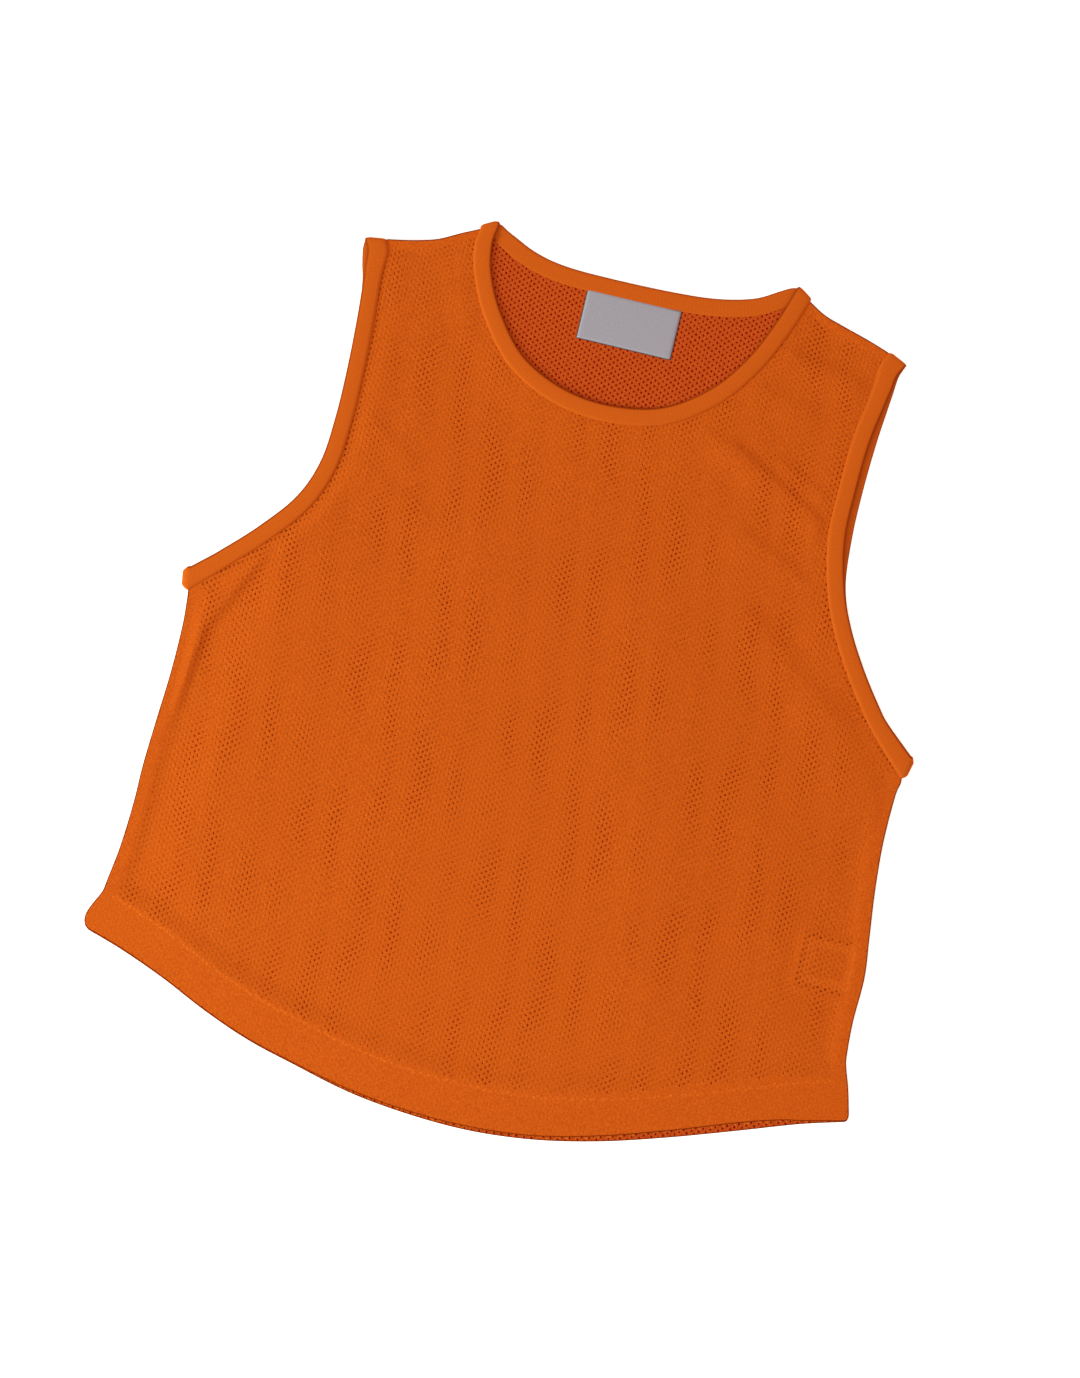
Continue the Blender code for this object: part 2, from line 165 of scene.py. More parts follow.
# One eyelet's place in each panel, in mm: the columns' spacing, the pitch along a column and
# how far each column is shifted from the one before it.
LATTICE = {
    "front": {"column": 2.40, "pitch": 3.68, "shift": 1.62, "start": (0.0, 0.0)},
    "back": {"column": 2.35, "pitch": 3.75, "shift": -1.69, "start": (0.6, 1.1)},
}
# The pitch is drawn out towards the hem and drawn in at the neck. Columns: height, front, back.
PITCHES = (
    (-290.0, 3.92, 3.92),
    (-120.0, 3.74, 3.78),
    (40.0, 3.67, 3.75),
    (150.0, 3.60, 3.68),
    (220.0, 3.38, 3.44),
    (290.0, 3.35, 3.42),
)
EYELET = (0.72, 0.80)  # half the width and half the height of an eyelet
EYELET_SPREAD = 0.12  # how far an eyelet's size varies, as a share
EYELET_STRAY = 0.08  # how far it lies off its place, each way
EYELET_DEPTH = 0.20  # the yarn round an eyelet lies this much below the crossings
HEM_DIMPLE = 0.16  # what is left of that where the cloth lies double
SEAM_DIMPLE = 0.12
EYELET_INSET = 0.3  # from a cell's border in to its eyelet, before the eyelet takes its size
LATTICE_REACH = (262.0, 300.0)  # across and up from the middle, before the lattice is cut
SPARE_ROWS = 4
CHANCE_SEED = {"front": 11, "back": 12}
SAME_CORNER = 0.05  # corners nearer than this are one
PITCH_REACH, PITCH_STEP = 330.0, 2.0  # the heights at which the drawn-out rows are worked out
# The rows never lie quite even. Columns: wavelength in mm, its direction in degrees, sideways drift.
WANDER = (
    (7.3, 25.0, 0.05),
    (9.7, 118.0, 0.05),
    (14.0, 71.0, 0.08),
    (39.0, 12.0, 0.15),
    (96.0, 84.0, 0.40),
    (170.0, 38.0, 0.90),
)
WANDER_PHASE = {"front": 0.0, "back": 2.1}
OPEN_LOWER_EDGE = 6.0  # how far up from its fold the back's hem shows its eyelets

# ---- Heights of the cloth's upper face above the floor, in mm ----

BACK_FIELD = 1.2
LAYER_GAP = 0.10  # from the yarn round the front's eyelets down to the back
FRONT_FIELD = BACK_FIELD + LAYER_GAP + EYELET_DEPTH
# Where the cloth lies over something. Columns: its height there, how far off it still has that
# height, and how far off it is back at the field's.
BACK_OVER = {"seam": (1.5, 5.0, SEAM_ALLOWANCE), "hem": (1.6, 0.0, 2.5)}
FRONT_OVER = {
    "seam": (2.5, 5.0, 16.0),
    "binding": (2.5, 0.0, 26.0),
    "hem": (2.9, 0.0, 16.0),
    "label": (2.1, 1.0, 9.0),
}
# The rolls start this far in from a seam and reach their own height over these distances.
SEAM_FLAT = 4.0
FRONT_EASE = {"seam": 9.0, "binding": 11.0}
BACK_EASE = {"seam": 5.0, "binding": 3.0, "hem": 8.0}
BACK_AT_BINDING = 0.5  # the share of the front's rise that the back takes up beside a binding
BACK_OFF_LABEL = (0.2, 2.2)  # how far from the care label the back is still flat, and free to rise
FRONT_BINDING_MIDDLE, BACK_BINDING_MIDDLE = 2.8, 0.82  # halfway through a strip's thickness
FRONT_PUFF, PUFF_REACH = 0.3, 120.0  # the front's crown, and how far in from its border it is full
# The soft rolls of the front: a line along each, how wide it falls off to the line's left and
# to its right, and its height.
ROLLS = (
    (((-172.0, 44.0), (-192.0, -150.0)), 55.0, 18.0, 2.0),
    (((-138.0, 205.0), (-140.0, 125.0), (-152.0, 88.0), (-178.0, 56.0)), 45.0, 13.0, 0.9),
    (((-194.0, 36.0), (-203.0, 15.0), (-217.0, -12.0), (-224.0, -60.0)), 4.5, 14.0, 2.0),
    (((-142.7, 134.7), (-118.2, 116.7)), 6.0, 14.0, 0.5),
    (((-138.0, 104.0), (-100.0, 84.0)), 7.0, 14.0, 0.4),
    (((62.0, 178.0), (96.0, 160.0)), 5.0, 10.0, 0.5),
    (((82.2, 172.2), (143.1, 139.5)), 4.0, 13.0, 1.3),
    (((109.3, 170.5), (144.0, 155.0)), 4.0, 9.0, 0.7),
    (((96.0, 238.0), (158.0, 226.0)), 6.0, 12.0, 1.2),
    (((74.0, 214.0), (120.0, 204.0)), 6.0, 12.0, 0.6),
    (((98.0, 121.0), (138.0, 104.0)), 4.5, 14.0, 0.7),
    (((112.0, 72.0), (170.0, 30.0)), 8.0, 16.0, 0.8),
    (((176.0, 24.0), (214.0, -22.0)), 11.0, 24.0, 1.3),
    (((60.0, 40.0), (110.0, -170.0)), 32.0, 32.0, 0.9),
    (((150.0, -60.0), (186.0, -170.0)), 22.0, 22.0, 0.6),
    (((-60.0, 60.0), (-84.0, -140.0)), 34.0, 34.0, 0.7),
)

# Labels: left edge, right edge, lower edge, upper edge.
NECK_LABEL = (-32.5, 28.2, 217.0, 248.6)
CARE_LABEL = (196.0, 228.4, -142.0, -112.0)
LABEL_RIM = 6.5  # how wide the care label's paler rim is

# ---- Curves ----


def smooth_step(value):
    share = np.clip(value, 0.0, 1.0)
    return share * share * (3.0 - 2.0 * share)


def near(distance, full, none):
    """1 up to the first distance, fading to 0 at the second."""
    return 1.0 - smooth_step((distance - full) / (none - full))


def even_points(points, stations):
    """Points at even steps along a polyline."""
    points = np.asarray(points, float)
    run = np.concatenate([[0.0], np.cumsum(np.linalg.norm(np.diff(points, axis=0), axis=1))])
    at = np.linspace(0.0, run[-1], stations)
    return np.stack([np.interp(at, run, points[:, axis]) for axis in range(points.shape[1])], axis=1)


def curve_through(knots, stations):
    """Even points along the Catmull-Rom curve through the knots."""
    knots = np.asarray(knots, float)
    padded = np.vstack([2 * knots[0] - knots[1], knots, 2 * knots[-1] - knots[-2]])
    share = np.linspace(0.0, 1.0, CURVE_STEPS, endpoint=False)[:, None]
    pieces = []
    for a, b, c, d in zip(padded, padded[1:], padded[2:], padded[3:]):
        pieces.append(
            0.5 * (2 * b + (c - a) * share + (2 * a - 5 * b + 4 * c - d) * share**2
                   + (3 * b - a - 3 * c + d) * share**3)
        )
    return even_points(np.vstack(pieces + [knots[-1:]]), stations)


def strip(knots, first, last, stations, width=BINDING_WIDTH):
    """(folded edge, line at that width from it) of one binding, turning to the fold lines at its ends."""
    folded = curve_through([first[0], *knots, last[0]], stations)
    tangent = np.gradient(folded, axis=0)
    tangent /= np.linalg.norm(tangent, axis=1)[:, None]
    across = BINDING_WIDTH * np.stack([-tangent[:, 1], tangent[:, 0]], axis=1)
    starts, ends = np.subtract(first[1], first[0]), np.subtract(last[1], last[0])
    if across[len(across) // 8] @ starts < 0:
        across = -across
    share = np.linspace(0.0, 1.0, len(folded))[:, None]
    for fold, turned in ((starts, near(share, 0.0, FOLD_BLEND)), (ends, near(1.0 - share, 0.0, FOLD_BLEND))):
        across = across * (1.0 - turned) + fold * turned
    return folded, folded + across * (width / BINDING_WIDTH)


def armhole_strip(side, panel, stations, width=BINDING_WIDTH):
    """One armhole binding's stretch on one panel, from the shoulder down to the armpit."""
    knots = [(row[ARMHOLE_COLUMN[side, panel]], row[0]) for row in ARMHOLES]
    return strip(knots, FOLD_AT_SHOULDER[side], FOLD_AT_ARMPIT[side], stations, width)


def neck_strip(panel, stations, width=BINDING_WIDTH):
    return strip(NECK[panel], FOLD_AT_NECK["left"], FOLD_AT_NECK["right"], stations, width)


def hem_line(panel, stations=160):
    return curve_through([(row[0], row[HEM_COLUMN[panel]]) for row in HEM], stations)


def shoulder_line(side, stations=30):
    return curve_through([*SHOULDERS[side], FOLD_AT_NECK[side][1]], stations)


def side_line(side, panel, stations=90):
    """A side edge, from the hem's corner up to the armpit."""
    index, corner = (1, HEM[0]) if side == "left" else (2, HEM[-1])
    knots = [(row[index], row[0]) for row in SIDES[::-1]]
    return curve_through([(corner[0], corner[HEM_COLUMN[panel]]), *knots, UNDERARM[side]], stations)


def rounded(line, corner, radius):
    """A line with the points near one corner put on a parabola."""
    away = np.linalg.norm(line - corner, axis=1)
    close = np.flatnonzero(away < radius)
    start, end = line[close[0] - 1], line[close[-1] + 1]
    share = np.linspace(0.0, 1.0, CORNER_POINTS)[:, None]
    bend = start * (1 - share) ** 2 + 2 * corner * share * (1 - share) + end * share**2
    return np.vstack([line[: close[0] - 1], bend, line[close[-1] + 2 :]])


def panel_outline(panel):
    """The cut edge of a panel, as one closed line that ends where it starts, anticlockwise."""
    lap = BINDING_WIDTH - BINDING_LAP
    left_hole = armhole_strip("left", panel, OUTLINE_STATIONS, lap)[1]
    right_hole = armhole_strip("right", panel, OUTLINE_STATIONS, lap)[1]
    neck = neck_strip(panel, OUTLINE_STATIONS, lap)[1]
    right_up = np.vstack([side_line("right", panel), right_hole[::-1]])
    left_down = np.vstack([left_hole, side_line("left", panel)[::-1]])
    loop = np.vstack([
        hem_line(panel), right_up, shoulder_line("right"), neck[::-1],
        shoulder_line("left")[::-1], left_down,
    ])
    steps = np.linalg.norm(np.diff(loop, axis=0), axis=1)
    loop = loop[np.concatenate([[True], steps > SAME_CORNER])]
    # The line starts in the middle of the hem, clear of the corners that are rounded next.
    loop = np.roll(loop[:-1], -80, axis=0)
    for side, row in (("left", HEM[0]), ("right", HEM[-1])):
        loop = rounded(loop, np.array([row[0], row[HEM_COLUMN[panel]]]), CORNER_RADIUS[side])
    along = np.roll(loop, -1, axis=0) - np.roll(loop, 1, axis=0)
    inward = np.stack([-along[:, 1], along[:, 0]], axis=1) / np.linalg.norm(along, axis=1)[:, None]
    loop = loop + EDGE_RADIUS * inward
    return np.vstack([loop, loop[:1]])


def nearest_on(points, line):
    """For each point: its distance from the line, the nearest place there and the step it lies on."""
    best = np.full(len(points), np.inf)
    place = np.zeros_like(points)
    found = np.zeros(len(points), int)
    for step, (a, b) in enumerate(zip(line, line[1:])):
        run = b - a
        spot = a + np.clip((points - a) @ run / (run @ run), 0.0, 1.0)[:, None] * run
        gap = np.hypot(*(points - spot).T)
        closer = gap < best
        best[closer], place[closer], found[closer] = gap[closer], spot[closer], step
    return best, place, found


def distance_to(points, *lines):
    return np.min([nearest_on(points, line)[0] for line in lines], axis=0)


def inside(points, loop):
    """Which points lie inside a closed line, by counting crossings."""
    x, y = points.T
    within = np.zeros(len(points), bool)
    for (x0, y0), (x1, y1) in zip(loop, loop[1:]):
        if y0 == y1:
            continue
        crossed = ((y0 > y) != (y1 > y)) & (x < (x1 - x0) * (y - y0) / (y1 - y0) + x0)
        within ^= crossed
    return within


# ---- Where the cloth lies ----


def from_seams(points, panel):
    """The distance from the side seams, or from the shoulder seams as if their strip were as wide."""
    rough = ROUGH_STATIONS
    sides = distance_to(points, *[side_line(side, panel, rough["side"]) for side in ("left", "right")])
    shoulders = distance_to(points, *[shoulder_line(side, rough["shoulder"]) for side in ("left", "right")])
    return np.minimum(sides, shoulders + SEAM_ALLOWANCE - SHOULDER_ALLOWANCE)


def binding_lines(panel):
    """The lines that the bindings are sewn along."""
    armholes = [armhole_strip(side, panel, ROUGH_STATIONS["armhole"])[1] for side in ("left", "right")]
    return [*armholes, neck_strip(panel, ROUGH_STATIONS["neck"])[1]]


def above_hem(points, panel):
    """How far each place lies above the inner edge of the turned hem."""
    return points[:, 1] - np.interp(points[:, 0], *hem_line(panel).T) - HEM_DEPTH


def from_care_label(points):
    left, right, low, high = CARE_LABEL
    beside = np.maximum(np.maximum(left - points[:, 0], points[:, 0] - right), 0.0)
    beyond = np.maximum(np.maximum(low - points[:, 1], points[:, 1] - high), 0.0)
    return np.hypot(beside, beyond)


def over_label_rim(points):
    """Which places lie over the paler rim of the care label."""
    left, right, low, high = CARE_LABEL
    x, y = points.T
    inward = np.minimum.reduce([x - left, right - x, y - low, high - y])
    return (inward > 0.0) & (inward < LABEL_RIM)


def rise_over(things, field, distances):
    """How far the cloth rises from its field's height over the highest thing that it lies on."""
    return np.max([(height - field) * near(distances[thing], full, none)
                   for thing, (height, full, none) in things.items()], axis=0)


def back_height(points, to_seam, over_hem):
    """The upper face of the back: flat on the floor, and close under the front where that rises."""
    rise = rise_over(BACK_OVER, BACK_FIELD, {"seam": to_seam, "hem": over_hem})
    front = front_height(points, from_seams(points, "front"), above_hem(points, "front"))
    to_binding = distance_to(points, *binding_lines("back"))
    follows = BACK_AT_BINDING + (1.0 - BACK_AT_BINDING) * smooth_step(to_binding / BACK_EASE["binding"])
    follows *= smooth_step((to_seam - SEAM_FLAT) / BACK_EASE["seam"]) * near(-over_hem, 0.0, BACK_EASE["hem"])
    follows *= 1.0 - near(from_care_label(points), *BACK_OFF_LABEL)
    return BACK_FIELD + rise + (front - FRONT_FIELD) * follows


def front_height(points, to_seam, over_hem):
    """The upper face of the front: what it lies over, then its own soft rolls."""
    to_binding = distance_to(points, *binding_lines("front"))
    distances = {"seam": to_seam, "binding": to_binding, "hem": over_hem, "label": from_care_label(points)}
    rise = rise_over(FRONT_OVER, FRONT_FIELD, distances)
    to_border = np.minimum(to_seam, to_binding)
    own = FRONT_PUFF * smooth_step(to_border / PUFF_REACH)
    for line, left, right, height in ROLLS:
        away, place, step = nearest_on(points, np.array(line))
        way = np.diff(line, axis=0)[step]
        off = points - place
        across = way[:, 0] * off[:, 1] - way[:, 1] * off[:, 0]
        to_left = across / np.maximum(np.hypot(*way.T) * away, 1e-6)
        width = (left + right) / 2 + (left - right) / 2 * to_left
        own += height * np.exp(-((away / width) ** 2))
    own = own * smooth_step((to_seam - SEAM_FLAT) / FRONT_EASE["seam"])
    return FRONT_FIELD + rise + own * smooth_step(to_binding / FRONT_EASE["binding"])


# ---- Meshes ----

# The materials of a panel, in this order. The second knit is for where the cloth looks different:
# the back in the neck opening, darker and redder as painted shade, and the front over the care label's rim.
KNIT, CLOSED_EYELET, SHADED_EYELET, TURNED_EDGE, SECOND_KNIT = range(5)
ON_OUTLINE = 0.05  # a cut edge this near to the outline lies on it
UNDER_BINDING = 1.2  # a cut edge this near to a binding's line is sewn in under it


def finished(name, bm, *materials):
    mesh = bpy.data.meshes.new(name)
    bm.to_mesh(mesh)
    bm.free()
    return placed(name, mesh, *materials)


def placed(name, mesh, *materials):
    mesh.shade_smooth()
    for material in materials:
        mesh.materials.append(material)
    obj = bpy.data.objects.new(name, mesh)
    bpy.context.scene.collection.objects.link(obj)
    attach(obj, "root")
    return obj


def eyelet_lattice(panel):
    """A mesh of six-sided cells with an eyelet in each, in rows and columns over the whole panel.

    Two cells are modelled; one array repeats them up the columns and one across. The face that
    closes an eyelet has a material of its own.
    """
    size = LATTICE[panel]
    beside = Vector((size["column"], size["shift"], 0.0)) * MM
    above = Vector((0.0, size["pitch"], 0.0)) * MM
    thirds = (beside + above, 2 * above - beside, above - 2 * beside)
    corners = [third / 3 for third in thirds] + [-third / 3 for third in thirds]
    bm = bmesh.new()
    middles = (0 * beside, beside)
    cells = [bm.faces.new([bm.verts.new(middle + corner) for corner in corners]) for middle in middles]
    bmesh.ops.inset_individual(bm, faces=cells, thickness=EYELET_INSET * MM)
    for cell, middle in zip(cells, middles):
        cell.material_index = CLOSED_EYELET
        for vertex in cell.verts:
            way = (vertex.co - middle).normalized()
            vertex.co = middle + Vector((way.x * EYELET[0], way.y * EYELET[1], -EYELET_DEPTH)) * MM
    bmesh.ops.remove_doubles(bm, verts=bm.verts, dist=SAME_CORNER * MM)
    if sum(face.normal.z for face in bm.faces) < 0:
        bmesh.ops.reverse_faces(bm, faces=bm.faces)
    unit = bpy.data.meshes.new("eyelets")
    bm.to_mesh(unit)
    bm.free()
    source = bpy.data.objects.new("eyelets", unit)
    bpy.context.scene.collection.objects.link(source)
    pair = 2 * beside - round(2 * size["shift"] / size["pitch"]) * above
    columns = math.ceil(2 * LATTICE_REACH[0] * MM / pair.x)
    drift = abs(columns * pair.y / above.y)
    rows = math.ceil(2 * LATTICE_REACH[1] * MM / above.y + drift) + SPARE_ROWS
    for name, count, step in (("Rows", rows, above), ("Columns", columns, pair)):
        array = source.modifiers.new(name, "ARRAY")
        array.count = count
        array.use_relative_offset = False
        array.use_constant_offset = True
        array.constant_offset_displace = step
        array.use_merge_vertices = True
        array.merge_threshold = SAME_CORNER * MM
    view = bpy.context.evaluated_depsgraph_get()
    mesh = bpy.data.meshes.new_from_object(source.evaluated_get(view))
    bpy.data.objects.remove(source)
    middle = ((columns - 1) * pair + (rows - 1) * above) / 2
    mesh.transform(Matrix.Translation(-middle))
    return mesh


def coordinates(mesh):
    flat = np.empty(3 * len(mesh.vertices), np.float32)
    mesh.vertices.foreach_get("co", flat)
    return flat.reshape(-1, 3).astype(float) / MM


def stretched(points, panel):
    """The lattice's even rows moved to the height where the knit's drawn-out pitch puts them."""
    heights = np.arange(-PITCH_REACH, PITCH_REACH + 1.0, PITCH_STEP)
    table = np.array(PITCHES)
    pitch = np.interp(heights, table[:, 0], table[:, HEM_COLUMN[panel]])
    steps = PITCH_STEP * LATTICE[panel]["pitch"] / (0.5 * (pitch[1:] + pitch[:-1]))
    even = np.concatenate([[0.0], np.cumsum(steps)])
    even -= np.interp(0.0, heights, even)
    start = LATTICE[panel]["start"]
    return np.stack([points[:, 0] + start[0], np.interp(points[:, 1] + start[1], even, heights)], axis=1)


def wandered(points, panel):
    """The rows moved off their even course, by a few slow and a few quick waves."""
    moved = points.copy()
    for wave, (length, direction, drift) in enumerate(WANDER):
        way = np.array([math.cos(math.radians(direction)), math.sin(math.radians(direction))])
        swing = drift * np.sin(2 * math.pi * (points @ way) / length + WANDER_PHASE[panel] * (wave + 1))
        moved += swing[:, None] * [-way[1], way[0]] + 0.5 * swing[:, None] * way
    return moved


def uneven_eyelets(plan, mesh, panel):
    """Each eyelet a little larger or smaller than the next, and a little off its place."""
    rims = np.array([face.vertices[:] for face in mesh.polygons if face.material_index == CLOSED_EYELET])
    chance = np.random.default_rng(CHANCE_SEED[panel])
    size = 1.0 + EYELET_SPREAD * chance.uniform(-1.0, 1.0, (len(rims), 1, 1))
    stray = EYELET_STRAY * chance.uniform(-1.0, 1.0, (len(rims), 1, 2))
    middle = plan[rims].mean(axis=1, keepdims=True)
    plan[rims] = middle + (plan[rims] - middle) * size + stray
    return plan


def eyelet_cloth(panel, eyelets_open):
    """A panel's knit as a bmesh: the lattice cut to the outline and laid at the cloth's height."""
    mesh = eyelet_lattice(panel)
    lattice = coordinates(mesh)
    plan = uneven_eyelets(wandered(stretched(lattice, panel), panel), mesh, panel)
    loop = panel_outline(panel)
    outside = ~inside(plan, loop)
    bm = bmesh.new()
    bm.from_mesh(mesh)
    bpy.data.meshes.remove(mesh)
    bm.verts.ensure_lookup_table()
    spare = [vertex for vertex, out in zip(bm.verts, outside) if out and all(
        outside[other.index] for face in vertex.link_faces for other in face.verts)]
    kept = np.ones(len(plan), bool)
    kept[[vertex.index for vertex in spare]] = False
    bmesh.ops.delete(bm, geom=spare, context="VERTS")
    plan, outside, deep = plan[kept], outside[kept], lattice[kept, 2] < -EYELET_DEPTH / 2
    _, place, _ = nearest_on(plan[outside], loop)
    plan[outside] = place
    to_seam = from_seams(plan, panel)
    over_hem = above_hem(plan, panel)
    height = (front_height if panel == "front" else back_height)(plan, to_seam, over_hem)
    dimple = np.where(over_hem < 0.0, HEM_DIMPLE, EYELET_DEPTH)
    dimple = np.where(to_seam < SEAM_ALLOWANCE, SEAM_DIMPLE, dimple)
    lower_edge = (over_hem < OPEN_LOWER_EDGE - HEM_DEPTH) & (panel == "back")
    dimple = np.where(lower_edge, EYELET_DEPTH, dimple)
    height = height - dimple * deep
    bm.verts.ensure_lookup_table()
    for vertex, spot in zip(bm.verts, np.column_stack([plan, height]) * MM):
        vertex.co = spot
    doubled = ((over_hem < 0.0) | (to_seam < SEAM_ALLOWANCE)) & ~lower_edge
    # The back takes its first knit, painted lighter as painted light, where the front covers it; the front
    # takes its first knit where it isn't over the label's rim.
    plain = inside(plan, panel_outline("front")) if panel == "back" else ~over_label_rim(plan)
    bm.verts.index_update()
    gone = []
    for face in bm.faces:
        corners = [vertex.index for vertex in face.verts]
        if all(outside[i] for i in corners):
            gone.append(face)
        elif face.material_index == CLOSED_EYELET and not doubled[corners].any():
            if eyelets_open:
                gone.append(face)
            elif plain[corners].all():
                face.material_index = SHADED_EYELET
        else:
            face.material_index = KNIT if plain[corners].any() else SECOND_KNIT
    bmesh.ops.delete(bm, geom=gone, context="FACES")
    return bm, loop


def roll_edges(bm, loop, open_lines):
    """Turns the cloth down and under in a half circle along its edge, but not under the bindings."""
    border = [edge for edge in bm.edges if edge.is_boundary]
    spots = np.array([vertex.co[:2] for edge in border for vertex in edge.verts]) / MM
    away = nearest_on(spots, loop)[0]
    covered = distance_to(spots, *open_lines) < UNDER_BINDING
    good = (away < ON_OUTLINE) & ~covered
    edges = [edge for edge, a, b in zip(border, good[0::2], good[1::2]) if a and b]
    outward = np.diff(loop, axis=0)
    outward = np.stack([outward[:, 1], -outward[:, 0]], axis=1) / np.linalg.norm(outward, axis=1)[:, None]
    turns = np.radians(EDGE_TURNS)
    for before, after in zip(turns, turns[1:]):
        made = bmesh.ops.extrude_edge_only(bm, edges=edges)["geom"]
        for item in made:
            if isinstance(item, bmesh.types.BMFace):
                item.material_index = TURNED_EDGE
        edges = [item for item in made if isinstance(item, bmesh.types.BMEdge)]
        verts = [item for item in made if isinstance(item, bmesh.types.BMVert)]
        spots = np.array([vertex.co[:2] for vertex in verts]) / MM
        _, _, step = nearest_on(spots, loop)
        push = EDGE_RADIUS * (math.sin(after) - math.sin(before))
        drop = EDGE_RADIUS * (math.cos(before) - math.cos(after))
        for vertex, way in zip(verts, outward[step]):
            vertex.co += Vector((push * way[0], push * way[1], -drop)) * MM


def panel_pieces(panel, split, materials):
    """A panel's knit in an upper and a lower piece, which meet along a row of cells."""
    bm, loop = eyelet_cloth(panel, eyelets_open=panel == "front")
    lap = BINDING_WIDTH - BINDING_LAP
    under = [armhole_strip(side, panel, OUTLINE_STATIONS, lap)[1] for side in ("left", "right")]
    under.append(neck_strip(panel, OUTLINE_STATIONS, lap)[1])
    roll_edges(bm, loop, under)
    whole = bpy.data.meshes.new(panel)
    bm.to_mesh(whole)
    bm.free()
    pieces = []
    for part, keep_above in (("upper", True), ("lower", False)):
        bm = bmesh.new()
        bm.from_mesh(whole)
        spare = [face for face in bm.faces if (face.calc_center_median().y > split * MM) != keep_above]
        bmesh.ops.delete(bm, geom=spare, context="FACES")
        piece = finished(f"{panel}_panel_{part}", bm, *materials)
        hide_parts(f"{panel}_panel")
        pieces.append(piece)
    bpy.data.meshes.remove(whole)
    return pieces


# ---- Bindings ----

# Half of a binding's section. Columns: distance from the sewn edge, half thickness, how far its
# middle lies nearer to the other panel.
BINDING_SECTION = (
    (0.0, 0.16, 0.45), (0.35, 0.46, 0.32), (1.0, 0.7, 0.1), (2.2, 0.8, 0.0), (8.4, 0.82, 0.0),
    (9.8, 0.76, 0.0), (10.6, 0.54, 0.0), (10.95, 0.2, 0.0),
)
SAME_POINT = 0.001  # where a strip's section or ring closes, points this near are one
FOLD_TURNS = 11  # stations round each fold
# How far the middle of a fold is pushed out past its ends: where the strip starts, where it ends.
FOLD_BULGES = {
    "neck_binding": (1.2, 0.3),
    "armhole_binding_left": (0.3, 4.3),
    "armhole_binding_right": (0.2, 2.7),
}
BINDING_STATIONS = {"front": 110, "back": 100}
# Where a strip's two ends are sewn together: counted back from the ring's last station.
JOINS = (("neck_binding", -17), ("armhole_binding_left", -60), ("armhole_binding_right", -60))
JOIN_PINCH = 0.6  # the share of its thickness that the strip loses there
WELL_IN = 5  # a station this far from a strip's end lies on its inner side


def turn_over(folded, sewn, outward, bulge):
    """The stations round a fold, from the front's height down to the back's."""
    radius = (FRONT_BINDING_MIDDLE - BACK_BINDING_MIDDLE) / 2
    stations = []
    for turn in range(1, FOLD_TURNS + 1):
        angle = math.pi * turn / (FOLD_TURNS + 1)
        push = radius * math.sin(angle) * outward
        height = BACK_BINDING_MIDDLE + radius * (1.0 + math.cos(angle))
        normal = np.array([*(outward * math.sin(angle)), math.cos(angle)])
        pushed = np.array([*(bulge * math.sin(angle) * outward), 0.0])
        edges = [np.array([*(edge + push), height]) for edge in (folded, sewn)]
        stations.append((*edges, normal, pushed))
    return stations


def away_from(folded, sewn, inside_point):
    """The direction square to a fold line, pointing away from the strip."""
    along = (sewn - folded) / np.linalg.norm(sewn - folded)
    square = np.array([-along[1], along[0]])
    return -square if square @ (inside_point - folded) > 0 else square


def ring_stations(front, back, bulges):
    """Stations round a ring: folded edge, sewn edge, the way its outer face looks and its bulge."""
    def level(edges, height, normal):
        return [(np.array([*f, height]), np.array([*s, height]), normal, np.zeros(3)) for f, s in zip(*edges)]

    up = np.array([0.0, 0.0, 1.0])
    end = (front[0][-1] + back[0][-1]) / 2, (front[1][-1] + back[1][-1]) / 2
    start = (front[0][0] + back[0][0]) / 2, (front[1][0] + back[1][0]) / 2
    stations = level(front, FRONT_BINDING_MIDDLE, up)
    stations += turn_over(*end, away_from(*end, front[0][-1 - WELL_IN]), bulges[1])
    stations += level((back[0][::-1], back[1][::-1]), BACK_BINDING_MIDDLE, -up)
    return stations + turn_over(*start, away_from(*start, front[0][WELL_IN]), bulges[0])[::-1]


def surface(name, rows, uvs, *materials):
    """A grid of points as a mesh, rows by columns, with a UV map in metres of cloth."""
    bm = bmesh.new()
    layer = bm.loops.layers.uv.new("Cloth")
    bmesh.ops.create_grid(bm, x_segments=len(rows[0]) - 1, y_segments=len(rows) - 1, size=1.0)
    ordered = sorted(bm.verts, key=lambda v: (round(v.co.y, 4), round(v.co.x, 4)))
    places = {}
    for vertex, spot, uv in zip(ordered, np.concatenate(rows), np.concatenate(uvs)):
        vertex.co = Vector(spot) * MM
        places[vertex] = uv * MM
    for face in bm.faces:
        for corner in face.loops:
            corner[layer].uv = places[corner.vert]
    bmesh.ops.remove_doubles(bm, verts=bm.verts, dist=SAME_POINT * MM)
    bmesh.ops.recalc_face_normals(bm, faces=bm.faces)
    return finished(name, bm, *materials)


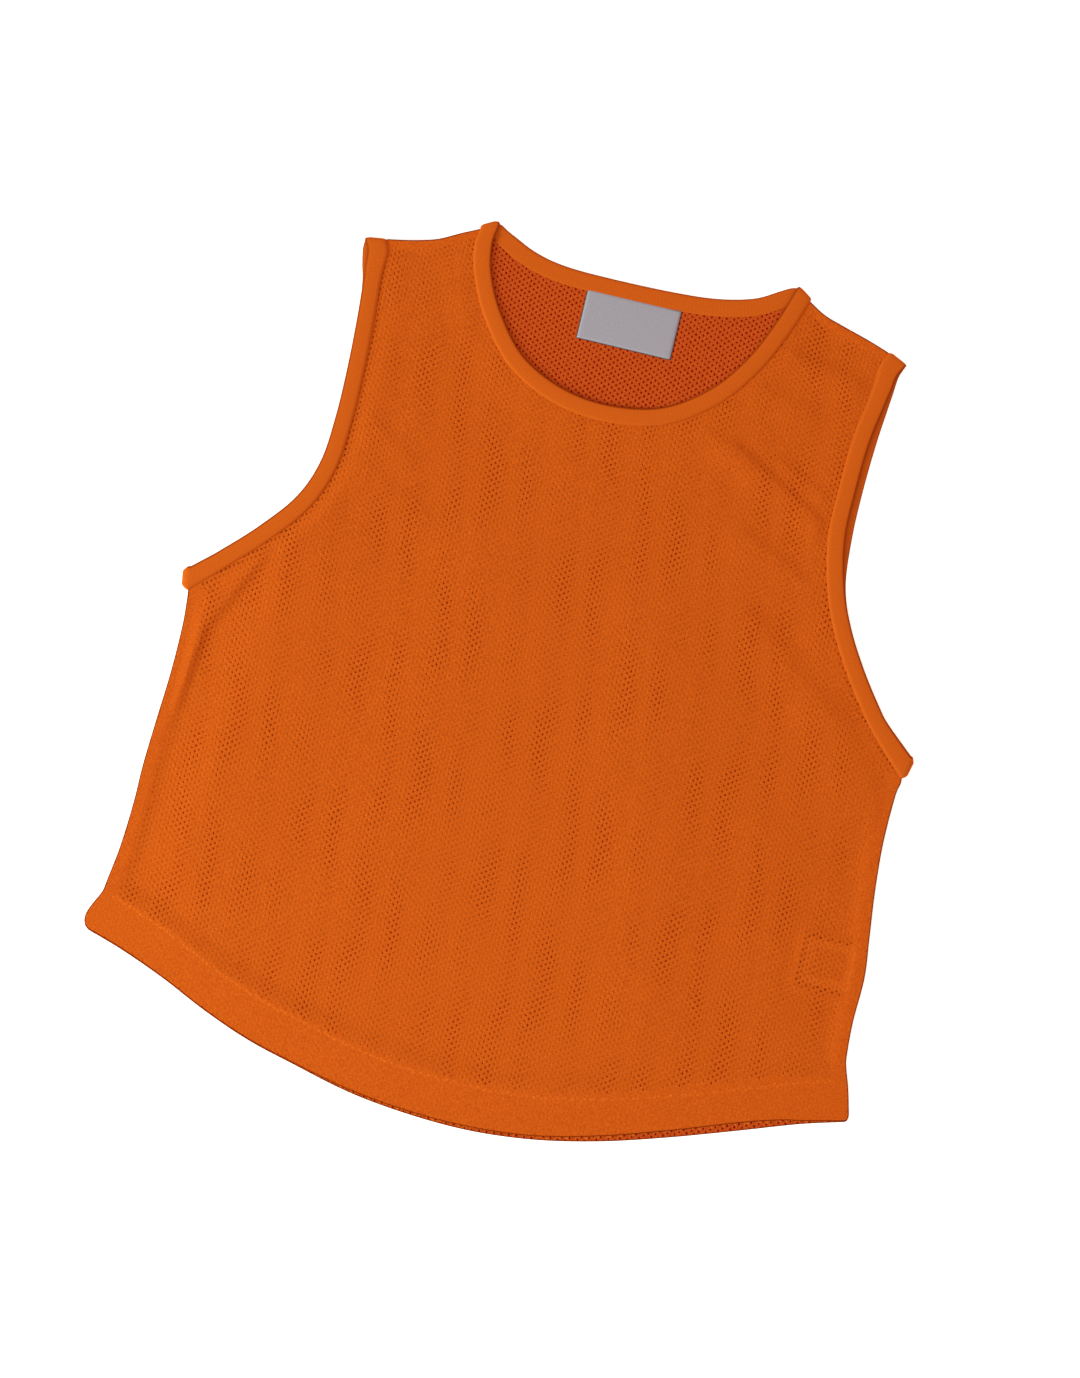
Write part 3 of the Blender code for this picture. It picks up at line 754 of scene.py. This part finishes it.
def binding(name, front, back, material):
    """A strip folded over the cut edge: a closed section carried round the opening, front and back."""
    stations = ring_stations(front, back, FOLD_BULGES[name])
    stations.append(stations[0])
    section = [(across, half - lean) for across, half, lean in BINDING_SECTION]
    section += [(across, -half - lean) for across, half, lean in BINDING_SECTION[::-1]] + section[:1]
    girth = np.concatenate([[0.0], np.cumsum([math.dist(a, b) for a, b in zip(section, section[1:])])])
    rows, uvs, run, before = [], [], 0.0, None
    for station, (folded, sewn, normal, pushed) in enumerate(stations):
        pinch = JOIN_PINCH if (name, station - len(stations)) in JOINS else 0.0
        inward = (folded - sewn) / BINDING_WIDTH
        rows.append(np.array([
            sewn + inward * across + normal * out * (1.0 - pinch)
            + pushed * math.sin(math.pi * across / BINDING_WIDTH)
            for across, out in section
        ]))
        middle = (folded + sewn) / 2
        run += 0.0 if before is None else np.linalg.norm(middle - before)
        before = middle
        uvs.append(np.stack([np.full(len(section), run), girth], axis=1))
    piece = surface(f"{name}_strip", rows, uvs, material)
    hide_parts(name)
    return piece, run


# ---- Labels ----

LABEL_THICKNESS = 0.35
NECK_LABEL_TOP, CARE_LABEL_TOP = 1.75, 1.68  # the height of a label's upper face
NECK_LABEL_CROWN, CARE_LABEL_CROWN = 0.15, 0.1  # how much higher its middle lies
LABEL_GRID = (32, 20)  # points across a label and up it
LABEL_EDGE_DROP, LABEL_EDGE_WIDTH = 0.25, 1.2  # how far its edges sink, and over what width
LOWER_EDGE_LIFT = 0.3  # the lower edge drops less than the others by this much of its width


def label(name, edges, top, crown, ribbon):
    """A woven label lying on the back panel: a sheet with softly rounded edges."""
    left, right, low, high = edges
    across = np.linspace(left, right, LABEL_GRID[0])
    rise = np.linspace(low, high, LABEL_GRID[1])
    grid = np.array([[(x, y) for x in across] for y in rise])
    x, y = grid[..., 0], grid[..., 1]
    u, v = (x - left) / (right - left), (y - low) / (high - low)
    edge = np.minimum.reduce([x - left, right - x, y - low + LOWER_EDGE_LIFT, high - y])
    height = top + crown * np.sin(np.pi * u) * np.sin(np.pi * v)
    height -= LABEL_EDGE_DROP * near(edge, 0.0, LABEL_EDGE_WIDTH)
    rows = np.concatenate([grid, height[..., None]], axis=2)
    uvs = grid - (left, low)
    piece = surface(f"{name}_ribbon", list(rows), list(uvs), ribbon(right - left, high - low))
    wall = piece.modifiers.new("Wall", "SOLIDIFY")
    wall.thickness = LABEL_THICKNESS * MM
    wall.offset = -1.0
    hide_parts(name)
    return piece


# ---- Materials ----

# How many marks lie to the mm: the mesh's yarn, the strip's mottle and the woven label's threads.
# Each is drawn coarser than real yarn, which would be too fine to show.
YARN_TO_MM, MOTTLE_TO_MM, WEFT_TO_MM = 1.1, 0.7, 0.9
WALE_WIDTH = 1.1  # one upright row of the strip's loops, in mm
YARN_RELIEF, WEFT_RELIEF = 0.15, 0.1  # how deep each bump is, in mm
SHEEN_COLOUR = "#ff8a30"  # dyed polyester gives its own orange back in its gloss


def colour(code):
    """An sRGB hex colour as linear red, green, blue and alpha."""
    parts = [int(code[i : i + 2], 16) / 255 for i in (1, 3, 5)]
    return (*[part / 12.92 if part <= 0.04045 else ((part + 0.055) / 1.055) ** 2.4 for part in parts], 1.0)


def add(tree, kind, inputs=(), **settings):
    """Adds a node with its settings. An input is a value or another node's output."""
    made = tree.nodes.new(kind)
    for name, value in settings.items():
        setattr(made, name, value)
    for socket, value in dict(inputs).items():
        if isinstance(value, bpy.types.NodeSocket):
            tree.links.new(value, made.inputs[socket])
        else:
            made.inputs[socket].default_value = value
    return made


def new_material(name, roughness, gloss, tint, sheen=0.0):
    """A material with its shader; gloss is the specular level, and tint colours gloss and sheen."""
    material = bpy.data.materials.new(name)
    material.use_nodes = True
    tree = material.node_tree
    tree.nodes.clear()
    shader = add(tree, "ShaderNodeBsdfPrincipled", {
        "Roughness": roughness, "IOR": 1.5, "Specular IOR Level": gloss, "Specular Tint": colour(tint),
        "Sheen Weight": sheen, "Sheen Roughness": 0.5, "Sheen Tint": colour(tint),
    })
    add(tree, "ShaderNodeOutputMaterial", {"Surface": shader.outputs["BSDF"]})
    return material, tree, shader


def eyelet_knit(name, dark, light):
    # Polyester yarn warp-knitted into a net: matt, with each loop's yarn just visible.
    material, tree, shader = new_material(name, 0.85, 0.1, SHEEN_COLOUR, 0.03)
    place = add(tree, "ShaderNodeTexCoord").outputs["Object"]
    yarn = add(tree, "ShaderNodeTexNoise", {"Vector": place, "Scale": YARN_TO_MM / MM, "Detail": 2.0})
    shade = add(tree, "ShaderNodeMapRange", {"Value": yarn.outputs["Fac"], "From Min": 0.3, "From Max": 0.7})
    mixed = add(tree, "ShaderNodeMix", {"Factor": shade.outputs[0], "A": colour(dark), "B": colour(light)},
                data_type="RGBA")
    tree.links.new(mixed.outputs["Result"], shader.inputs["Base Color"])
    relief = {"Height": yarn.outputs["Fac"], "Strength": 0.35, "Distance": YARN_RELIEF * MM}
    bump = add(tree, "ShaderNodeBump", relief)
    tree.links.new(bump.outputs["Normal"], shader.inputs["Normal"])
    return material


def eyelet_floor(name, shade):
    # What is seen down an eyelet of the lower layer: shaded cloth, a little less dark under the front.
    material, _, shader = new_material(name, 0.9, 0.0, shade)
    shader.inputs["Base Color"].default_value = colour(shade)
    return material


def shaded_turned_edge():
    # The same knit where it turns under at a seam or a fold, painted darker: painted shade where it turns
    # down towards the table.
    material, _, shader = new_material("Knit turned under, painted shade", 0.9, 0.0, SHEEN_COLOUR)
    shader.inputs["Base Color"].default_value = colour("#7c2606")
    return material


def banded(tree, distance, full, none):
    """A node that is 1 up to the first distance and 0 from the second, both in metres."""
    return add(tree, "ShaderNodeMapRange", {
        "Value": distance, "From Min": full, "From Max": none, "To Min": 1.0, "To Max": 0.0,
    }).outputs[0]


def from_fold(tree, place):
    """A node's output: how far round the strip a place lies from its folded edge, in metres."""
    turn = sum(math.dist(a[:2], b[:2]) for a, b in zip(BINDING_SECTION, BINDING_SECTION[1:]))
    turn += BINDING_SECTION[-1][1]
    split = add(tree, "ShaderNodeSeparateXYZ", {"Vector": place})
    beyond = add(tree, "ShaderNodeMath", {0: split.outputs["Y"], 1: turn * MM}, operation="SUBTRACT")
    return add(tree, "ShaderNodeMath", {0: beyond.outputs[0]}, operation="ABSOLUTE").outputs[0]


def from_rim(tree, place, width, height):
    """A node's output: how far a place lies inside a rectangle's nearest edge, in metres."""
    split = add(tree, "ShaderNodeSeparateXYZ", {"Vector": place})
    sides = []
    for axis, size in (("X", width), ("Y", height)):
        off = add(tree, "ShaderNodeMath", {0: split.outputs[axis], 1: size / 2 * MM}, operation="SUBTRACT")
        off = add(tree, "ShaderNodeMath", {0: off.outputs[0]}, operation="ABSOLUTE")
        sides.append(add(tree, "ShaderNodeMath", {0: size / 2 * MM, 1: off.outputs[0]}, operation="SUBTRACT"))
    return add(tree, "ShaderNodeMath", {0: sides[0].outputs[0], 1: sides[1].outputs[0]},
               operation="MINIMUM").outputs[0]


def jersey():
    # The same polyester knitted plain: fine vertical wales, smoother and a little lighter, with painted shade
    # along its folded edge.
    material, tree, shader = new_material("Plain-knitted polyester strip", 0.8, 0.1, SHEEN_COLOUR, 0.03)
    place = add(tree, "ShaderNodeUVMap", uv_map="Cloth").outputs["UV"]
    wales = add(tree, "ShaderNodeTexWave", {"Vector": place, "Scale": 1.0 / (WALE_WIDTH * MM * 2 * math.pi),
                                            "Distortion": 0.6}, bands_direction="X")
    tone = add(tree, "ShaderNodeTexNoise", {"Vector": place, "Scale": MOTTLE_TO_MM / MM, "Detail": 2.0})
    mixed = add(tree, "ShaderNodeMix", {
        "Factor": tone.outputs["Fac"], "A": colour("#b64b10"), "B": colour("#c25517"),
    }, data_type="RGBA")
    # Painted shade: the strip darkens along its folded edge, where it turns down.
    edge = banded(tree, from_fold(tree, place), 0.7 * MM, 1.5 * MM)
    shaded = add(tree, "ShaderNodeMix", {
        "Factor": edge, "A": mixed.outputs["Result"], "B": colour("#8f3208"),
    }, data_type="RGBA")
    tree.links.new(shaded.outputs["Result"], shader.inputs["Base Color"])
    relief = {"Height": wales.outputs["Fac"], "Strength": 0.2, "Distance": YARN_RELIEF * MM}
    bump = add(tree, "ShaderNodeBump", relief)
    tree.links.new(bump.outputs["Normal"], shader.inputs["Normal"])
    return material


def woven_label(width, height):
    # Damask-woven polyester ribbon: smooth, slightly glossy, with a fine cross weave and painted shade along
    # its cut edges.
    material, tree, shader = new_material("Woven polyester label", 0.5, 0.3, "#ffffff")
    place = add(tree, "ShaderNodeUVMap", uv_map="Cloth").outputs["UV"]
    weft = add(tree, "ShaderNodeTexNoise", {"Vector": place, "Scale": WEFT_TO_MM / MM, "Detail": 2.0})
    mixed = add(tree, "ShaderNodeMix", {
        "Factor": weft.outputs["Fac"], "A": colour("#887f8c"), "B": colour("#9c939f"),
    }, data_type="RGBA")
    # Painted shade: a dark band along the label's edges.
    edge = banded(tree, from_rim(tree, place, width, height), 0.25 * MM, 0.7 * MM)
    rimmed = add(tree, "ShaderNodeMix", {
        "Factor": edge, "A": mixed.outputs["Result"], "B": colour("#3c2f33"),
    }, data_type="RGBA")
    tree.links.new(rimmed.outputs["Result"], shader.inputs["Base Color"])
    relief = {"Height": weft.outputs["Fac"], "Strength": 0.2, "Distance": WEFT_RELIEF * MM}
    bump = add(tree, "ShaderNodeBump", relief)
    tree.links.new(bump.outputs["Normal"], shader.inputs["Normal"])
    return material


def satin_label(width, height):
    # Thin satin ribbon dyed like the knit, with a paler rim round a bare, duller middle.
    material, tree, shader = new_material("Satin label ribbon", 0.5, 0.2, SHEEN_COLOUR)
    place = add(tree, "ShaderNodeUVMap", uv_map="Cloth").outputs["UV"]
    rim = banded(tree, from_rim(tree, place, width, height), (LABEL_RIM - 0.5) * MM, (LABEL_RIM + 0.5) * MM)
    mixed = add(tree, "ShaderNodeMix", {"Factor": rim, "A": colour("#bf4f12"), "B": colour("#d86118")},
                data_type="RGBA")
    tree.links.new(mixed.outputs["Result"], shader.inputs["Base Color"])
    return material


# ---- The bib ----

SPLITS = {"front": -25.0, "back": -35.5}  # where a panel's lower and upper mesh meet


def declare_panel(panel):
    loop = panel_outline(panel)


def build_bib():
    strip_knit = jersey()
    knit = eyelet_knit("Warp-knitted polyester eyelet mesh", "#ae440f", "#c75514")
    # Painted shade: a darker, redder copy of the knit for the back where it shows in the neck opening.
    neck_shade_knit = eyelet_knit("Warp-knitted polyester eyelet mesh, inner face", "#a73c12", "#be4a19")
    # Painted light: the back's knit painted lighter where the front covers it, standing in for light let
    # through the front.
    paler_knit = eyelet_knit("Warp-knitted polyester eyelet mesh, lit through", "#ba4d12", "#d4601a")
    rim_knit = eyelet_knit("Warp-knitted polyester eyelet mesh, over a label", "#b34810", "#cc5917")
    floor = eyelet_floor("Shaded eyelet of the lower layer", "#740000")
    shaded = eyelet_floor("Shaded eyelet between the layers", "#9c2a08")
    turned = shaded_turned_edge()
    back = panel_pieces("back", SPLITS["back"], (paler_knit, floor, shaded, turned, neck_shade_knit))
    front = panel_pieces("front", SPLITS["front"], (knit, floor, shaded, turned, rim_knit))
    declare_panel("back")
    declare_panel("front")
    rings = {"neck_binding": [neck_strip(panel, BINDING_STATIONS[panel]) for panel in ("front", "back")]}
    for side in ("left", "right"):
        rings[f"armhole_binding_{side}"] = [
            armhole_strip(side, panel, BINDING_STATIONS[panel]) for panel in ("front", "back")
        ]
    for name, strips in rings.items():
        piece, length = binding(name, *strips, strip_knit)
    tag = label("neck_label", NECK_LABEL, NECK_LABEL_TOP, NECK_LABEL_CROWN, woven_label)
    care = label("care_label", CARE_LABEL, CARE_LABEL_TOP, CARE_LABEL_CROWN, satin_label)


# ---- The table, the light and the camera ----

PHOTO_HEIGHT = 861.25  # the span of the picture's long side, in mm
PHOTO_CENTRE = (-3.1, -1.6)
PHOTO_TURN = 13.5  # how far the camera is rolled, in degrees
LENS, SENSOR = 120.0, 36.0
SKY_LEVEL = 0.93  # light from all round
SKY_COLOUR = (1.0, 0.9, 0.8)
TABLE_REACH, TABLE_GLOW = 4.0, 0.45  # half the table's side in metres, and how strongly it shines
# A soft box low on the left, which draws the folds out. Place in metres.
SOFT_BOX_PLACE, SOFT_BOX_SIZE, SOFT_BOX_WATTS = (-1.9, -0.95, 0.88), 0.8, 72.0
SOFT_BOX_COLOUR = (0.65, 1.0, 0.9)


def table():
    bm = bmesh.new()
    bmesh.ops.create_grid(bm, x_segments=1, y_segments=1, size=TABLE_REACH)
    # Opal acrylic, lit a little from below, so that hardly a shadow shows on it.
    material, _, shader = new_material("Opal acrylic light table", 0.9, 0.1, "#ffffff")
    shader.inputs["Base Color"].default_value = colour("#fbfbfb")
    shader.inputs["Emission Color"].default_value = colour("#ffffff")
    shader.inputs["Emission Strength"].default_value = TABLE_GLOW
    mesh = bpy.data.meshes.new("table_top")
    bm.to_mesh(mesh)
    bm.free()
    mesh.materials.append(material)
    top = bpy.data.objects.new("table_top", mesh)
    bpy.context.scene.collection.objects.link(top)


def area_light(name, spot, size, watts, tone):
    light = bpy.data.lights.new(name, "AREA")
    light.shape = "DISK"
    light.size = size
    light.energy = watts
    light.color = tone
    lamp = bpy.data.objects.new(name, light)
    lamp.location = spot
    lamp.rotation_euler = (-Vector(spot)).to_track_quat("-Z", "Y").to_euler()
    bpy.context.scene.collection.objects.link(lamp)


def studio():
    world = bpy.data.worlds.new("White studio")
    world.use_nodes = True
    background = world.node_tree.nodes["Background"]
    background.inputs["Color"].default_value = (*SKY_COLOUR, 1.0)
    background.inputs["Strength"].default_value = SKY_LEVEL
    bpy.context.scene.world = world
    area_light("Soft box", SOFT_BOX_PLACE, SOFT_BOX_SIZE, SOFT_BOX_WATTS, SOFT_BOX_COLOUR)
    bpy.context.scene.view_settings.view_transform = "Standard"


def camera():
    lens = bpy.data.cameras.new("Overhead camera")
    lens.lens = LENS
    lens.sensor_width = SENSOR
    stand = bpy.data.objects.new("Overhead camera", lens)
    stand.location = (PHOTO_CENTRE[0] * MM, PHOTO_CENTRE[1] * MM, PHOTO_HEIGHT * MM * LENS / SENSOR)
    stand.rotation_euler = (0.0, 0.0, math.radians(PHOTO_TURN))
    bpy.context.scene.collection.objects.link(stand)
    bpy.context.scene.camera = stand


build_bib()
table()
studio()
camera()
